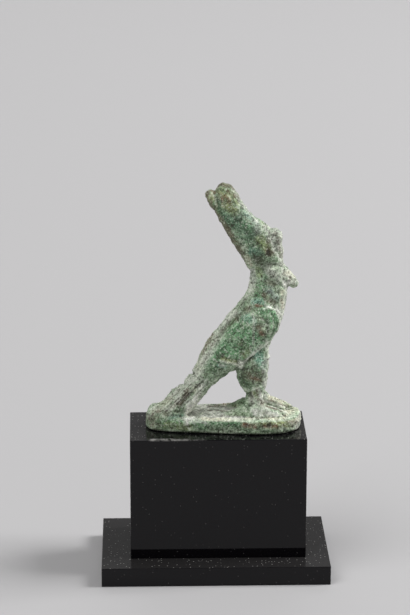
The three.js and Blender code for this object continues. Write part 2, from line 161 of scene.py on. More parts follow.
# Minerals of the patina: colour, then how much of the hidden side has it, then places on the side that the photograph
# shows. Each place is a short line from X, Z to X, Z with a radius and a strength. Z is read where the camera sees it
# against an upright plane at SEEN_PLANE, so that it rises by SEEN_RISE for each millimetre behind that plane.
SEEN_PLANE, SEEN_RISE = -3, 0.306
MINERALS = {
    "blue_green": (
        "#769a8e", 0.25,
        [
            (3.6, 56.0, 8.6, 51.6, 2.0, 0.8), (7.6, 57.0, 9.8, 54.0, 1.4, 0.6), (13.4, 36.9, 14.8, 34.8, 1.2, 0.7),
            (9.9, 28.8, 9.9, 23.6, 0.5, 0.5),
        ],
    ),
    "malachite": (
        "#579060", 0.3,
        [
            (-0.2, 59.6, 1.4, 56.6, 1.0, 0.8), (6.6, 54.0, 8.6, 52.6, 1.1, 1.0), (10.4, 50.2, 12.6, 47.8, 1.3, 0.8),
            (12.0, 40.8, 11.6, 37.4, 1.0, 0.6), (12.4, 31.6, 15.0, 29.6, 1.7, 1.0), (3.8, 27.0, 11.0, 23.2, 2.6, 0.9),
            (2.2, 22.4, 5.2, 20.8, 1.5, 1.0), (3.4, 62.4, 4.6, 61.0, 0.8, 0.5), (6.9, 13.6, 7.6, 12.4, 0.8, 0.8), (-13.0, 1.8, -8.6, 1.6, 1.2, 0.6),
            (-6.0, 1.0, 0.0, 1.0, 0.8, 0.5), (-0.6, 18.6, 8.6, 24.0, 3.0, 0.9), (4.0, 19.0, 8.4, 20.0, 1.2, 0.8), (9.6, 49.4, 12.4, 46.8, 1.6, 0.6),
            (1.0, 57.6, 10.4, 48.0, 1.6, 0.6), (13.6, 28.8, 15.2, 27.0, 1.2, 0.7), (10.6, 35.6, 11.8, 34.6, 1.0, 0.6),
            (-14.0, 2.2, 6.0, 1.6, 1.0, 0.7),
        ],
    ),
    "verdigris": (
        "#70aa92", 0.25,
        [
            (9.2, 47.0, 10.4, 46.4, 1.0, 0.9), (9.8, 34.0, 11.8, 33.8, 0.8, 0.9), (6.6, 30.4, 8.8, 29.2, 1.2, 0.6),
            (10.6, 20.2, 11.6, 17.2, 1.3, 0.9), (-9.6, 3.3, -7.8, 3.2, 0.6, 0.9), (-11.2, 3.7, -8.2, 3.5, 0.8, 0.6), (0.8, 17.2, 2.4, 17.0, 0.6, 0.7),
        ],
    ),
    "olive": (
        "#9ba46a", 0.2,
        [
            (3.4, 62.2, 5.6, 59.6, 1.0, 0.6), (3.0, 58.8, 4.4, 57.2, 1.2, 0.9), (11.6, 54.3, 13.6, 52.8, 0.6, 0.4),
            (10.9, 50.0, 12.6, 48.0, 1.1, 1.0), (10.6, 42.2, 11.2, 41.0, 0.9, 0.5), (-0.8, 24.8, -2.4, 21.8, 0.6, 0.6),
            (-3.0, 20.6, -4.6, 15.6, 0.6, 0.6), (7.4, 19.8, 8.2, 20.6, 0.8, 0.5), (1.8, 19.0, 6.0, 17.6, 0.5, 1.0),
            (-5.4, 11.2, -4.6, 10.0, 0.8, 0.6), (-13.4, 6.8, -11.4, 8.0, 0.8, 0.8), (-15.6, 4.6, -12.6, 6.6, 0.8, 0.7), (-7.6, 1.2, -6.8, 1.0, 0.7, 0.6),
            (11.0, 2.2, 19.6, 2.0, 1.2, 0.8), (9.6, 9.8, 10.2, 8.8, 0.6, 0.7),
            (1.4, 62.4, 2.8, 60.4, 1.2, 0.7), (-2.2, 61.8, -1.0, 60.6, 0.9, 0.7), (-1.0, 25.0, -4.4, 16.4, 0.9, 0.7),
            (-12.4, 1.4, -6.6, 0.8, 1.0, 0.6), (-11.0, 8.4, -13.4, 6.0, 0.8, 0.6), (14.0, 1.2, 20.0, 2.2, 1.0, 0.6),
        ],
    ),
    "lilac_grey": (
        "#a3a49e", 0.3,
        [
            (10.0, 54.2, 10.4, 51.6, 1.2, 0.6), (14.6, 50.4, 15.2, 47.8, 1.2, 1.0), (14.2, 52.9, 16.6, 51.6, 0.8, 0.9), (13.2, 41.8, 15.4, 39.8, 1.2, 0.5),
            (9.0, 42.0, 9.4, 39.4, 0.9, 0.7), (13.6, 36.6, 14.8, 35.4, 1.0, 0.5), (-1.6, 20.8, -3.4, 18.4, 1.1, 0.6),
            (-5.4, 15.4, -6.2, 13.4, 0.9, 0.6), (12.9, 18.6, 12.5, 14.6, 0.6, 0.6), (12.4, 9.2, 12.8, 7.6, 0.9, 0.8),
            (19.0, 1.9, 20.2, 1.5, 0.9, 0.6), (-15.8, 5.4, -14.2, 5.6, 0.8, 0.5), (-1.8, 61.8, -1.4, 62.8, 0.7, 0.5),
            (-2.4, 12.6, -4.0, 11.0, 1.0, 0.6), (12.6, 53.4, 13.8, 50.0, 0.9, 0.7), (12.2, 17.6, 12.4, 12.0, 0.7, 0.8),
            (11.0, 10.4, 11.6, 7.6, 0.8, 0.5), (-16.8, 3.8, -14.6, 4.4, 1.0, 0.6),
        ],
    ),
    "deep_green": (
        "#3e5339", 0.3,
        [
            (10.2, 45.8, 12.4, 43.4, 1.7, 1.0), (8.4, 48.8, 12.0, 48.0, 0.9, 0.6), (4.6, 55.4, 10.8, 48.6, 2.6, 0.7), (4.4, 56.8, 6.0, 57.2, 0.7, 0.6),
            (1.0, 58.6, 1.5, 57.2, 0.5, 0.7), (-1.2, 16.4, 3.0, 14.6, 1.2, 0.6), (6.9, 17.2, 7.4, 12.4, 1.5, 1.0), (9.4, 16.6, 11.4, 13.8, 1.2, 0.8),
            (8.0, 10.4, 8.2, 8.0, 0.5, 0.7), (0.6, 1.2, 7.0, 1.0, 0.8, 0.6), (13.0, 29.8, 13.2, 28.0, 0.5, 0.6),
            (0.6, 20.0, 1.8, 19.4, 0.4, 0.8), (-10.6, 5.8, -9.4, 6.4, 0.8, 0.5), (-12.8, 5.0, -10.4, 7.4, 0.5, 0.6),
            (15.8, 29.6, 15.4, 27.6, 0.7, 0.8), (14.6, 49.4, 15.0, 47.0, 0.7, 0.6), (14.2, 45.2, 14.8, 43.4, 0.5, 0.6), (9.0, 49.4, 9.8, 48.0, 0.9, 0.6), (5.8, 60.6, 7.2, 59.2, 0.8, 0.6),
            (8.3, 10.6, 8.7, 6.4, 0.35, 0.9), (-6.2, 10.2, -9.2, 5.6, 1.2, 0.6), (-12.0, 1.2, 12.0, 0.8, 0.8, 0.5),
        ],
    ),
    "bloom": (
        "#d0d5c6", 0.25,
        [
            (6.2, 60.6, 7.8, 57.6, 0.4, 0.5), (7.8, 57.6, 10.4, 55.0, 0.6, 0.5), 
            (15.4, 46.4, 16.2, 44.2, 0.5, 0.4), (8.8, 38.9, 8.9, 37.0, 0.8, 0.9), (7.8, 35.6, 6.8, 34.4, 0.6, 0.5),
            (9.5, 30.0, 9.5, 22.6, 0.28, 0.6), (12.6, 32.9, 15.2, 32.7, 0.35, 0.7), (15.2, 32.7, 17.0, 30.8, 0.4, 0.8), (4.8, 31.2, 1.6, 27.8, 0.9, 0.9), (13.4, 42.6, 16.2, 40.2, 1.4, 0.5), 
            (17.6, 41.6, 19.4, 39.4, 1.2, 0.9), (7.6, 18.5, 11.6, 22.4, 0.4, 0.8), (12.8, 23.4, 13.2, 21.6, 0.7, 0.8),
            (6.3, 18.0, 6.7, 17.7, 0.6, 1.0), (1.2, 17.3, 2.2, 17.1, 0.5, 0.8), (-14.8, 5.4, -15.2, 4.6, 0.5, 0.7),
            (-3.4, 11.6, -7.0, 4.0, 0.8, 0.9), (-8.6, 10.0, -12.0, 7.0, 0.4, 0.6), (-10.0, 6.6, -12.0, 5.0, 0.4, 0.6),
            (13.6, 8.4, 17.0, 6.0, 0.8, 0.7), (-6.4, 6.2, -7.2, 3.0, 0.8, 1.0), (-4.6, 15.6, 2.2, 28.6, 1.4, 0.7),
            (-5.0, 14.0, -13.0, 6.4, 1.8, 0.6), (9.4, 8.0, 13.4, 6.4, 1.2, 0.7), (-16.0, 5.6, -13.4, 5.6, 1.0, 0.5),
            (9.2, 10.0, 9.5, 6.4, 0.35, 0.7),
        ],
    ),
    "cream": (
        "#d8d3ba", 0.08,
        [
            (18.2, 41.2, 19.4, 40.4, 1.0, 0.6), (16.8, 36.6, 17.0, 32.6, 0.6, 0.7),
            (14.8, 8.4, 19.4, 5.4, 1.0, 0.9), (18.4, 3.2, 20.8, 2.8, 1.0, 0.8), (-6.6, 5.4, -7.2, 3.2, 0.6, 0.7),
            (7.7, 45.6, 8.7, 43.4, 0.7, 0.6), (-0.4, 61.8, 0.4, 58.6, 0.4, 0.5),
            (13.8, 8.4, 18.8, 6.4, 0.3, 1.0),
        ],
    ),
    "chalk": (
        "#f4f3ec", 0.05,
        [
             (17.4, 38.6, 18.2, 38.8, 0.7, 0.9),
            # The last two strokes on the next line, along the wing's rim, are partly painted highlight: they keep the
            # rim pale where it lies in shade.
            (-4.6, 8.6, -7.2, 3.0, 0.7, 1.0), (9.4, 5.6, 13.0, 5.0, 0.7, 0.4), (12.9, 32.4, 15.4, 31.8, 0.26, 0.8), (15.4, 31.8, 17.0, 30.0, 0.3, 0.8),
            (10.2, 4.7, 15.0, 3.7, 1.0, 1.0), (15.2, 6.2, 19.4, 4.6, 0.9, 0.7), (-6.4, 6.4, -5.9, 3.4, 1.0, 1.0),
            (-6.9, 4.6, -7.1, 1.9, 0.6, 0.8), (-6.8, 2.8, -5.2, 2.2, 0.5, 0.7),
            (13.1, 7.3, 17.6, 5.5, 0.24, 1.0), (18.0, 5.7, 20.4, 3.6, 0.5, 0.9), (11.2, 10.6, 11.8, 8.0, 0.25, 0.9),
            (-4.6, 2.4, -2.2, 1.9, 0.35, 0.6), (-1.0, 2.8, 3.6, 2.6, 0.4, 0.7), (6.4, 3.0, 9.2, 2.6, 0.5, 0.8),
        ],
    ),
    "umber": (
        "#594b37", 0.15,
        [
            (-2.5, 61.4, 2.4, 53.2, 0.7, 1.0), (2.4, 53.2, 6.4, 46.4, 0.9, 1.0), (6.4, 46.4, 7.8, 43.4, 0.4, 0.8),
            (0.2, 64.4, 4.2, 64.2, 1.1, 1.0), (15.4, 50.4, 16.4, 45.6, 0.7, 0.5), (4.2, 63.2, 5.8, 60.8, 0.8, 0.6), (1.4, 61.0, 3.4, 59.6, 0.9, 0.6), (14.8, 51.8, 16.0, 50.6, 0.7, 0.4),
            (-2.0, 62.6, 0.0, 62.4, 0.8, 0.7), (2.0, 5.9, 5.6, 6.4, 0.7, 0.6), (13.0, 46.8, 13.9, 46.4, 0.8, 1.0), (8.4, 32.2, 5.2, 29.4, 0.7, 0.7),
            (5.2, 29.4, 1.6, 26.0, 0.7, 0.6), (1.6, 26.0, -1.4, 22.0, 0.6, 0.4), (10.8, 27.2, 11.8, 25.4, 0.9, 0.8),
            (6.4, 23.0, 7.6, 21.8, 1.1, 0.5), (6.4, 20.6, 7.0, 20.0, 0.6, 0.6), (8.6, 14.6, 10.8, 13.4, 1.3, 0.7), (10.6, 17.4, 11.8, 14.6, 0.9, 0.4),
            (-16.6, 2.8, -14.4, 0.8, 1.0, 0.6),
            (-6.8, 10.4, -9.4, 7.2, 0.9, 0.8), (-15.6, 3.4, -14.6, 1.8, 1.2, 0.5), (-12.6, 4.6, -11.2, 4.0, 0.9, 0.5),
            (19.6, 38.2, 20.4, 37.6, 0.6, 0.5), (10.6, 36.8, 11.2, 35.8, 0.6, 0.3), (13.4, 38.8, 14.8, 38.2, 0.9, 0.5),
            (12.2, 35.6, 14.6, 33.8, 0.8, 0.8), 
            (11.4, 7.5, 12.8, 6.6, 0.7, 0.8), (12.4, 34.3, 13.8, 33.9, 0.6, 0.8), (3.2, 62.4, 4.8, 61.2, 0.8, 0.7),
            (-0.6, 25.2, -3.0, 20.6, 0.5, 0.7), (-9.0, 7.6, -11.0, 6.0, 0.5, 0.7), (-12.0, 7.8, -9.0, 10.6, 0.35, 0.6), (18.8, 2.8, 20.4, 1.6, 0.7, 0.6),
            (13.2, 49.6, 13.6, 48.2, 0.6, 0.6), (15.0, 0.8, 18.0, 1.0, 0.6, 0.5),
            (13.1, 6.2, 17.1, 4.7, 0.24, 1.0), (13.8, 7.8, 18.0, 6.0, 0.22, 1.0), (10.4, 11.1, 10.8, 8.0, 0.25, 0.8),
            (-16.8, 3.2, -16.0, 1.6, 0.9, 0.7), (-14.0, 5.0, -15.6, 4.4, 0.7, 0.6),
        ],
    ),
    "rust": (
        "#895b41", 0.05,
        [
            (-1.0, 61.8, -0.2, 62.0, 0.6, 0.6), (2.6, 61.2, 3.4, 60.2, 0.6, 0.4), (10.2, 32.9, 11.6, 32.7, 0.4, 0.8),
            (11.2, 26.0, 11.6, 25.4, 0.5, 0.6), (9.2, 13.9, 10.4, 13.6, 0.7, 0.4), (7.2, 1.5, 9.8, 1.1, 0.7, 0.7), (12.2, 1.0, 15.2, 1.0, 0.5, 0.6), (1.7, 60.6, 1.8, 58.6, 0.35, 0.5),
        ],
    ),
}

# The same for the top of the base: lines from X, Y to X, Y with a radius and a strength.
BASE_TOP_MINERALS = {
    "bloom": [(-4.0, -4.0, 8.0, -5.0, 2.2, 0.7), (8.0, -5.0, 18.0, -3.0, 2.4, 0.7), (-4.0, 0.0, 6.0, 3.6, 2.6, 0.9)],
    "cream": [
        (-2.4, -5.2, 3.0, -5.8, 1.3, 0.9), (5.0, -6.0, 8.5, -6.0, 1.0, 0.5), (14.0, -5.6, 17.0, -5.2, 1.2, 0.8),
        (17.0, -3.0, 20.0, 1.0, 1.8, 0.8),
    ],
    "chalk": [
        (-6.6, -3.8, -5.0, 1.0, 1.8, 1.0), (-4.8, 3.6, -1.8, 3.2, 2.0, 1.0), (-3.6, 0.4, 0.4, -0.6, 1.4, 0.8),
        (0.8, 2.6, 6.4, 1.6, 0.9, 1.0), (1.0, -1.4, 8.6, -2.6, 0.9, 0.9), (-3.4, -2.4, 0.0, -3.4, 1.0, 0.9), (3.3, 0.9, 10.0, -0.8, 1.4, 0.8),
        (10.0, -2.4, 14.0, -3.0, 1.4, 1.0), (-2.0, -3.2, 6.0, -5.0, 1.4, 0.9), (12.0, -0.6, 17.0, -1.8, 1.0, 0.8),
    ],
    "umber": [
        (-16.5, 0.0, -13.5, -2.0, 1.8, 0.9), (-1.0, 4.6, 1.8, 4.4, 0.8, 0.8), (-1.4, 1.4, 2.6, 0.6, 0.5, 0.8), (2.0, 0.2, 5.4, -0.2, 0.5, 0.7), (0.4, -3.2, 7.4, -4.0, 0.5, 0.6),
        (-16.0, -3.4, -12.0, -4.0, 0.8, 0.6), (2.0, 3.6, 6.0, 3.2, 0.8, 0.5),
        (9.0, -5.4, 12.6, -5.2, 0.6, 0.7),
    ],
    "rust": [(2.4, 6.0, 5.6, 5.4, 1.2, 0.7), (8.2, -4.0, 12.0, -4.4, 0.5, 0.6)],
    "verdigris": [(6.0, 3.0, 9.6, 2.4, 1.2, 0.6), (-3.0, 2.4, 1.0, 1.6, 0.8, 0.7)],
    "deep_green": [(6.0, 1.6, 10.0, 1.4, 1.4, 0.8)],
}


def linear(hex_colour):
    """Linear RGBA of an sRGB hex colour."""
    parts = [int(hex_colour[i : i + 2], 16) / 255 for i in (1, 3, 5)]
    return (*(c / 12.92 if c <= 0.04045 else ((c + 0.055) / 1.055) ** 2.4 for c in parts), 1.0)


def length(name, description, millimetres):
    """Setting that holds a length, given in millimetres."""
    return FloatProperty(
        name=name, description=description, default=millimetres * MM, min=0, unit="LENGTH", precision=5
    )


def colour(name, description, hex_colour):
    """Setting that holds a colour, given as sRGB hex."""
    return FloatVectorProperty(
        name=name,
        description=description,
        default=linear(hex_colour),
        size=4,
        min=0,
        max=1,
        subtype="COLOR",
    )


class BronzeSettings(bpy.types.PropertyGroup):
    """Sizes and colours of the corroded bronze."""

    skin: length("Skin Spacing", "Spacing of the points that carry the bronze's relief", 0.24)
    swell_size: length("Swell Size", "Width of the broad lumps that corrosion left", 4.0)
    swell_depth: length("Swell Depth", "Height of the broad lumps", 0.3)
    crust_size: length("Crust Size", "Width of the crusts of mineral", 1.5)
    crust_depth: length("Crust Depth", "Height of the crusts", 0.5)
    grain_size: length("Grain Size", "Width of the mineral grains", 0.8)
    grain_depth: length("Grain Depth", "Height of the mineral grains", 0.28)
    pit_size: length("Pit Spacing", "Distance between the small pits", 1.7)
    pit_depth: length("Pit Depth", "Depth of the small pits", 0.2)
    seed: IntProperty(name="Seed", description="Seed of the corrosion's relief", default=7, min=0)
    green: colour("Green", "Main green of the patina", "#819d7b")
    pale_green: colour("Pale Green", "Lighter green of the patina", "#a5b59b")
    # The crystal colour also paints highlights on the crests of raised lines.
    crystal: colour("Crystals", "Pale mineral crystals", "#e0e4d6")
    # The soil colour also paints shade in wide hollows and at the base's foot.
    soil: colour("Soil", "Dark soil in pits and grooves", "#453f33")


class PlinthSettings(bpy.types.PropertyGroup):
    """Sizes and colours of the acrylic plinth."""

    edge: length("Eased Edge", "Width of the eased edges", 0.15)
    acrylic: colour("Acrylic", "Colour of the acrylic", "#08060a")
    dust: colour("Dust", "Colour of the dust", "#b6b4b0")


class StageSettings(bpy.types.PropertyGroup):
    """Floor, lights and camera."""

    floor: colour("Floor", "Colour of the plain floor", "#bdbcbd")
    floor_size: length("Floor Size", "Width of the floor", 12000)
    key_power: FloatProperty(name="Key Light", description="Power of the key light", default=31, min=0, unit="POWER")
    fill_power: FloatProperty(name="Fill Light", description="Power of the fill light", default=47, min=0, unit="POWER")
    wash_power: FloatProperty(name="Floor Light", description="Power of the floor light", default=5, min=0, unit="POWER")
    room: FloatProperty(name="Room Light", description="Brightness of the room around", default=0.2, min=0)


def add(tree, kind, values=None, output=0, **settings):
    """Adds a node and gives one of its outputs. Values fill or link its inputs, by name or number."""
    node = tree.nodes.new(kind)
    for name, value in settings.items():
        setattr(node, name, value)
    for name, value in (values or {}).items():
        if isinstance(value, bpy.types.NodeSocket):
            tree.links.new(value, node.inputs[name])
        else:
            node.inputs[name].default_value = value
    return node.outputs[output] if node.outputs else None


def new_object(name, mesh):
    """Object at the origin with that mesh."""
    made = bpy.data.objects.new(name, mesh)
    bpy.context.scene.collection.objects.link(made)
    return made


def merged_copy(node):
    """Copy of a CAD node's mesh with its loose triangles joined."""
    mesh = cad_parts[node].data.copy()
    mesh.materials.clear()
    work = bmesh.new()
    work.from_mesh(mesh)
    bmesh.ops.remove_doubles(work, verts=work.verts, dist=0.001 * MM)
    work.to_mesh(mesh)
    work.free()
    return mesh


def baked(source, name):
    """Plain mesh of an object with its modifiers worked in. The object goes."""
    view = bpy.context.evaluated_depsgraph_get()
    mesh = bpy.data.meshes.new_from_object(source.evaluated_get(view))
    mesh.name = name
    bpy.data.objects.remove(source)
    return mesh


def mesh_array(mesh, attribute):
    """A vertex attribute with three numbers as an array, such as co or normal."""
    values = np.zeros(len(mesh.vertices) * 3, np.float32)
    mesh.vertices.foreach_get(attribute, values)
    return values.reshape(-1, 3).astype(float)


def smoothstep(values, low, high):
    """0 below low, 1 above high and smooth between them."""
    share = np.clip((values - low) / (high - low), 0, 1)
    return share * share * (3 - 2 * share)


def smooth_line(points, steps=8):
    """Short straight pieces along a smooth curve through a few points."""
    ends = np.array([points[0], *points, points[-1]], float)
    t = np.linspace(0, 1, steps, endpoint=False)[:, None]
    pieces = [
        0.5 * (2 * b + (c - a) * t + (2 * a - 5 * b + 4 * c - d) * t**2 + (3 * b - a - 3 * c + d) * t**3)
        for a, b, c, d in zip(ends, ends[1:], ends[2:], ends[3:])
    ]
    return np.vstack([*pieces, ends[-1:]])


def distance_to(line, places):
    """Distance of each place from a line."""
    nearest = np.full(len(places), np.inf)
    for start, end in zip(line, line[1:]):
        run = end - start
        share = np.clip((places - start) @ run / max(run @ run, 1e-9), 0, 1)
        nearest = np.minimum(nearest, np.hypot(*(places - start - share[:, None] * run).T))
    return nearest


def hump(distance, half_width):
    """Round hump over a distance: 1 in the middle."""
    return np.exp(-((distance / half_width) ** 2))


def tail_barbs(flat):
    """Furrows that run along the tail's feathers, from -1 to 1, and how far each place is among the feathers."""
    away = flat - TAIL_MIDDLE
    along = away @ (math.cos(TAIL_TURN), math.sin(TAIL_TURN))
    across = away @ (-math.sin(TAIL_TURN), math.cos(TAIL_TURN))
    wander = 0.5 * np.sin(along / 2.3) + 0.3 * np.sin(along / 0.9 + 1)
    waves = sum(np.sin(2 * np.pi * (across + wander * 0.3) / width + width * 9) for width in BARB_WIDTHS)
    among = hump(along, TAIL_REACH) * hump(across, TAIL_SPAN)
    return 0.5 * waves * among, among


def worked_relief(places, normals):
    """Heights of the worked lines, the tail's furrows and the base's lip at each place on the bronze."""
    side = np.abs(places[:, 1])
    flat = places[:, [0, 2]]
    lines = np.zeros(len(places))
    for points, half_width, rise in WORKED_LINES.values():
        lines += rise * hump(distance_to(smooth_line(points), flat), half_width)
    for x, z, radius, rise in ROUND_MARKS.values():
        lines += rise * hump(np.hypot(flat[:, 0] - x, flat[:, 1] - z), radius)
    ring = np.hypot(flat[:, 0] - EYE[0], flat[:, 1] - EYE[1]) - EYE_RING_RADIUS
    lines -= EYE_RING_DEPTH * hump(ring, EYE_RING_WIDTH)
    beside = smoothstep(np.abs(normals[:, 1]), 0.1, 0.5) * smoothstep(side, 0.8, 1.6)
    barbs, among = tail_barbs(flat)
    barbs *= beside * smoothstep(places[:, 2], 4.2, 6.0)
    inset = np.interp(places[:, 0], *zip(*BASE_HALF_WIDTHS)) - side
    on_top = smoothstep(normals[:, 2], 0.3, 0.8) * hump(places[:, 2] - BASE_TOP, 0.5)
    uneven = 0.7 + 0.3 * np.sin(places[:, 0] * 0.9) + 0.3 * np.sin(places[:, 0] * 2.3 + 1)
    lip = LIP_HEIGHT * uneven * hump(inset - LIP_INSET, LIP_WIDTH) - DISH_DEPTH * smoothstep(inset, 1.6, 3.0)
    return lines * beside, barbs, among, lip * on_top


def corrosion_tree():
    """Geometry nodes that give a casting the lumps, crusts, grains and pits of old corrosion."""
    tree = bpy.data.node_groups.new("Corroded casting", "GeometryNodeTree")
    face = tree.interface
    face.new_socket("Geometry", in_out="INPUT", socket_type="NodeSocketGeometry")
    for name in ("Swell", "Crust", "Grain", "Pit"):
        face.new_socket(f"{name} Size", in_out="INPUT", socket_type="NodeSocketFloat")
        face.new_socket(f"{name} Depth", in_out="INPUT", socket_type="NodeSocketFloat")
    face.new_socket("Seed", in_out="INPUT", socket_type="NodeSocketFloat")
    face.new_socket("Material", in_out="INPUT", socket_type="NodeSocketMaterial")
    face.new_socket("Geometry", in_out="OUTPUT", socket_type="NodeSocketGeometry")
    given = add(tree, "NodeGroupInput").node.outputs
    place = add(tree, "GeometryNodeInputPosition")
    normal = add(tree, "GeometryNodeInputNormal")

    # Three noises that swing to both sides of the skin, then pits that only go in.
    scale = add(tree, "ShaderNodeMath", {0: 1.0, 1: given["Pit Size"]}, operation="DIVIDE")
    cells = add(
        tree,
        "ShaderNodeTexVoronoi",
        {"Vector": place, "W": given["Seed"], "Scale": scale},
        voronoi_dimensions="4D",
    )
    hollow = add(
        tree,
        "ShaderNodeMapRange",
        {0: cells, 1: 0.1, 2: 0.38, 3: -1.0, 4: 0.0},
        interpolation_type="SMOOTHSTEP",
    )
    total = add(tree, "ShaderNodeMath", {0: hollow, 1: given["Pit Depth"]}, operation="MULTIPLY")
    for name, detail in (("Swell", 1.0), ("Crust", 3.0), ("Grain", 2.0)):
        scale = add(tree, "ShaderNodeMath", {0: 1.0, 1: given[f"{name} Size"]}, operation="DIVIDE")
        noise = add(
            tree,
            "ShaderNodeTexNoise",
            {"Vector": place, "W": given["Seed"], "Scale": scale, "Detail": detail},
            noise_dimensions="4D",
        )
        swing = add(tree, "ShaderNodeMath", {0: noise, 1: 2.0, 2: -1.0}, operation="MULTIPLY_ADD")
        total = add(tree, "ShaderNodeMath", {0: swing, 1: given[f"{name} Depth"], 2: total}, operation="MULTIPLY_ADD")

    free = add(tree, "GeometryNodeInputNamedAttribute", {"Name": "free"}, data_type="FLOAT")
    height = add(tree, "ShaderNodeMath", {0: total, 1: free}, operation="MULTIPLY")
    push = add(tree, "ShaderNodeVectorMath", {0: normal, "Scale": height}, operation="SCALE")
    geometry = add(tree, "GeometryNodeSetPosition", {"Geometry": given["Geometry"], "Offset": push})

    # How far each point then stands out from the skin around it, near by and farther off.
    for name, turns, span in (("raised", 3, 0.05), ("proud", 30, 0.35)):
        around = add(tree, "GeometryNodeBlurAttribute", {0: place, "Iterations": turns}, data_type="FLOAT_VECTOR")
        off = add(tree, "ShaderNodeVectorMath", {0: place, 1: around}, operation="SUBTRACT")
        up = add(tree, "ShaderNodeVectorMath", {0: off, 1: normal}, "Value", operation="DOT_PRODUCT")
        share = add(tree, "ShaderNodeMath", {0: up, 1: span * MM}, operation="DIVIDE")
        geometry = add(
            tree,
            "GeometryNodeStoreNamedAttribute",
            {"Geometry": geometry, "Name": name, "Value": share},
            data_type="FLOAT",
            domain="POINT",
        )
    real = add(tree, "GeometryNodeRealizeInstances", {"Geometry": geometry})
    finish = add(tree, "GeometryNodeSetMaterial", {"Geometry": real, "Material": given["Material"]})
    add(tree, "NodeGroupOutput", {0: finish})
    return tree


def run_tree(source, tree, inputs):
    """Puts a node tree on an object with values for its named inputs."""
    modifier = source.modifiers.new(tree.name, "NODES")
    modifier.node_group = tree
    for socket in tree.interface.items_tree:
        if socket.in_out == "INPUT" and socket.name in inputs:
            modifier[socket.identifier] = inputs[socket.name]


# Streaks down the tail's feathers: their length along them and their widths across, in millimetres.
STREAK_SIZE = (4.0, 0.75, 0.75)

# Noises of the patina: width in millimetres, detail and roughness.
PATINA_NOISES = {
    "blotch": (2.6, 2.0, 0.5),
    "mottle": (1.1, 3.0, 0.65),
    "speckle": (1.3, 5.0, 0.8),
    "grain": (0.42, 2.0, 0.75),
}


